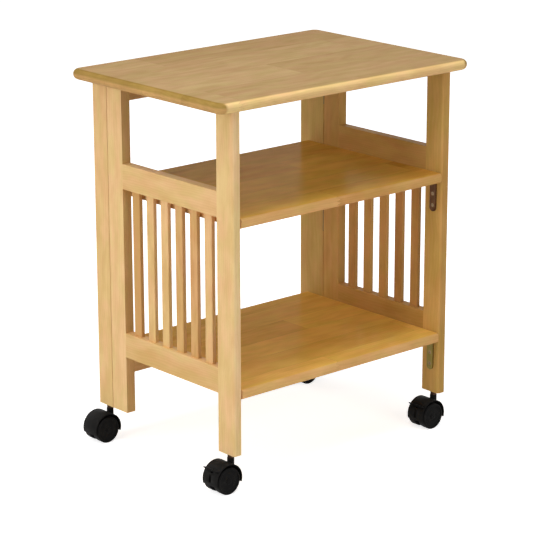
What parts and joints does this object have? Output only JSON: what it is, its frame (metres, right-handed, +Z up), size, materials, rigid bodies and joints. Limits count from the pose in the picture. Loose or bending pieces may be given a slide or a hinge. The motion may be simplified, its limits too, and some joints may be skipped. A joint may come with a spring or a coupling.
{
  "type": "rolling printer cart",
  "caption": "Folding wooden printer cart with a round-edged top, shelves, slatted sides and twin-wheel casters; the top and shelves lift at the front.",
  "frame": {"origin": "on the floor under the middle of the top", "axes": "+X to the right of someone facing the front, +Y to the back, +Z up"},
  "size_m": [0.6043, 0.425, 0.71],
  "materials": {
    "top_beech": "satin lacquer",
    "frame_beech": "satin lacquer",
    "slat_beech": "satin lacquer",
    "shelf_beech": "satin lacquer",
    "dowel_beech": "raw wood",
    "bronzed_steel": "dark bronzed steel",
    "olive_brass": "dull brass plating",
    "zinc_steel": "zinc plated",
    "white_nylon": "moulded",
    "black_nylon": "moulded, fine texture",
    "black_tread": "moulded, worn tread"
  },
  "bodies": {
    "cart_frame": {"left_front_stile": "frame_beech", "left_back_stile": "frame_beech", "left_middle_rail": "frame_beech", "left_bottom_rail": "frame_beech", "left_back_post": "frame_beech", "right_front_stile": "frame_beech", "right_back_stile": "frame_beech", "right_middle_rail": "frame_beech", "right_bottom_rail": "frame_beech", "right_back_post": "frame_beech", "back_top_rail": "frame_beech", "back_bottom_rail": "frame_beech", "left_slats": "slat_beech", "right_slats": "slat_beech", "frame_dowels": "dowel_beech", "left_hinge_post_leaves": "bronzed_steel", "left_hinge_frame_leaves": "bronzed_steel", "left_hinge_pins": "zinc_steel", "right_hinge_post_leaves": "bronzed_steel", "right_hinge_frame_leaves": "bronzed_steel", "right_hinge_pins": "zinc_steel", "side_hinge_screws": "bronzed_steel", "shelf_pivot_pins": "zinc_steel", "shelf_washers": "white_nylon", "middle_shelf_braces": "bronzed_steel", "bottom_shelf_braces": "olive_brass", "brace_screws": "olive_brass", "top_hinge_rail_leaves": "zinc_steel", "top_hinge_pins": "zinc_steel", "top_hinge_rail_screws": "zinc_steel", "caster_sockets": "black_nylon"},
    "top": {"top_board": "top_beech", "top_hinge_board_leaves": "zinc_steel", "top_hinge_board_screws": "zinc_steel"},
    "middle_shelf": {"middle_shelf": "shelf_beech"},
    "bottom_shelf": {"bottom_shelf": "shelf_beech"},
    "front_left_caster": {"front_left_hood": "black_nylon", "front_left_stem": "zinc_steel", "front_left_axle": "zinc_steel"},
    "front_left_front_wheel": {"front_left_front_wheel": "black_tread"},
    "front_left_rear_wheel": {"front_left_rear_wheel": "black_tread"},
    "front_left_brake": {"front_left_brake_lever": "black_nylon"},
    "front_right_caster": {"front_right_hood": "black_nylon", "front_right_stem": "zinc_steel", "front_right_axle": "zinc_steel"},
    "front_right_front_wheel": {"front_right_front_wheel": "black_tread"},
    "front_right_rear_wheel": {"front_right_rear_wheel": "black_tread"},
    "front_right_brake": {"front_right_brake_lever": "black_nylon"},
    "back_left_caster": {"back_left_hood": "black_nylon", "back_left_stem": "zinc_steel", "back_left_axle": "zinc_steel"},
    "back_left_front_wheel": {"back_left_front_wheel": "black_tread"},
    "back_left_rear_wheel": {"back_left_rear_wheel": "black_tread"},
    "back_right_caster": {"back_right_hood": "black_nylon", "back_right_stem": "zinc_steel", "back_right_axle": "zinc_steel"},
    "back_right_front_wheel": {"back_right_front_wheel": "black_tread"},
    "back_right_rear_wheel": {"back_right_rear_wheel": "black_tread"}
  },
  "joints": [
    {"name": "top_fold", "type": "hinge", "parent": "cart_frame", "child": "top", "pos_m": [0, 0.1985, 0.69], "axis": [-1, 0, 0], "range_deg": [0, 90]},
    {"name": "middle_shelf_fold", "type": "hinge", "parent": "cart_frame", "child": "middle_shelf", "pos_m": [0, 0.16, 0.4905], "axis": [-1, 0, 0], "range_deg": [0, 84]},
    {"name": "bottom_shelf_fold", "type": "hinge", "parent": "cart_frame", "child": "bottom_shelf", "pos_m": [0, 0.16, 0.1795], "axis": [-1, 0, 0], "range_deg": [0, 84]},
    {"name": "front_left_swivel", "type": "hinge", "parent": "cart_frame", "child": "front_left_caster", "pos_m": [-0.2545, -0.177, 0.068], "axis": [0, 0, 1], "continuous": true},
    {"name": "front_left_front_wheel_spin", "type": "hinge", "parent": "front_left_caster", "child": "front_left_front_wheel", "pos_m": [-0.2755, -0.177, 0.025], "axis": [0, 1, 0], "continuous": true},
    {"name": "front_left_rear_wheel_spin", "type": "hinge", "parent": "front_left_caster", "child": "front_left_rear_wheel", "pos_m": [-0.2755, -0.177, 0.025], "axis": [0, 1, 0], "continuous": true},
    {"name": "front_left_brake_press", "type": "hinge", "parent": "front_left_caster", "child": "front_left_brake", "pos_m": [-0.2895, -0.177, 0.039], "axis": [0, -1, 0], "range_deg": [0, 18]},
    {"name": "front_right_swivel", "type": "hinge", "parent": "cart_frame", "child": "front_right_caster", "pos_m": [0.2545, -0.177, 0.068], "axis": [0, 0, 1], "continuous": true},
    {"name": "front_right_front_wheel_spin", "type": "hinge", "parent": "front_right_caster", "child": "front_right_front_wheel", "pos_m": [0.2335, -0.177, 0.025], "axis": [0, 1, 0], "continuous": true},
    {"name": "front_right_rear_wheel_spin", "type": "hinge", "parent": "front_right_caster", "child": "front_right_rear_wheel", "pos_m": [0.2335, -0.177, 0.025], "axis": [0, 1, 0], "continuous": true},
    {"name": "front_right_brake_press", "type": "hinge", "parent": "front_right_caster", "child": "front_right_brake", "pos_m": [0.2195, -0.177, 0.039], "axis": [0, -1, 0], "range_deg": [0, 18]},
    {"name": "back_left_swivel", "type": "hinge", "parent": "cart_frame", "child": "back_left_caster", "pos_m": [-0.2545, 0.174, 0.068], "axis": [0, 0, 1], "continuous": true},
    {"name": "back_left_front_wheel_spin", "type": "hinge", "parent": "back_left_caster", "child": "back_left_front_wheel", "pos_m": [-0.2755, 0.174, 0.025], "axis": [0, 1, 0], "continuous": true},
    {"name": "back_left_rear_wheel_spin", "type": "hinge", "parent": "back_left_caster", "child": "back_left_rear_wheel", "pos_m": [-0.2755, 0.174, 0.025], "axis": [0, 1, 0], "continuous": true},
    {"name": "back_right_swivel", "type": "hinge", "parent": "cart_frame", "child": "back_right_caster", "pos_m": [0.2545, 0.174, 0.068], "axis": [0, 0, 1], "continuous": true},
    {"name": "back_right_front_wheel_spin", "type": "hinge", "parent": "back_right_caster", "child": "back_right_front_wheel", "pos_m": [0.2335, 0.174, 0.025], "axis": [0, 1, 0], "continuous": true},
    {"name": "back_right_rear_wheel_spin", "type": "hinge", "parent": "back_right_caster", "child": "back_right_rear_wheel", "pos_m": [0.2335, 0.174, 0.025], "axis": [0, 1, 0], "continuous": true}
  ],
  "couplings": [
    {"joint": "middle_shelf_fold", "follows": "top_fold", "ratio": 0.9333},
    {"joint": "bottom_shelf_fold", "follows": "top_fold", "ratio": 0.9333}
  ]
}
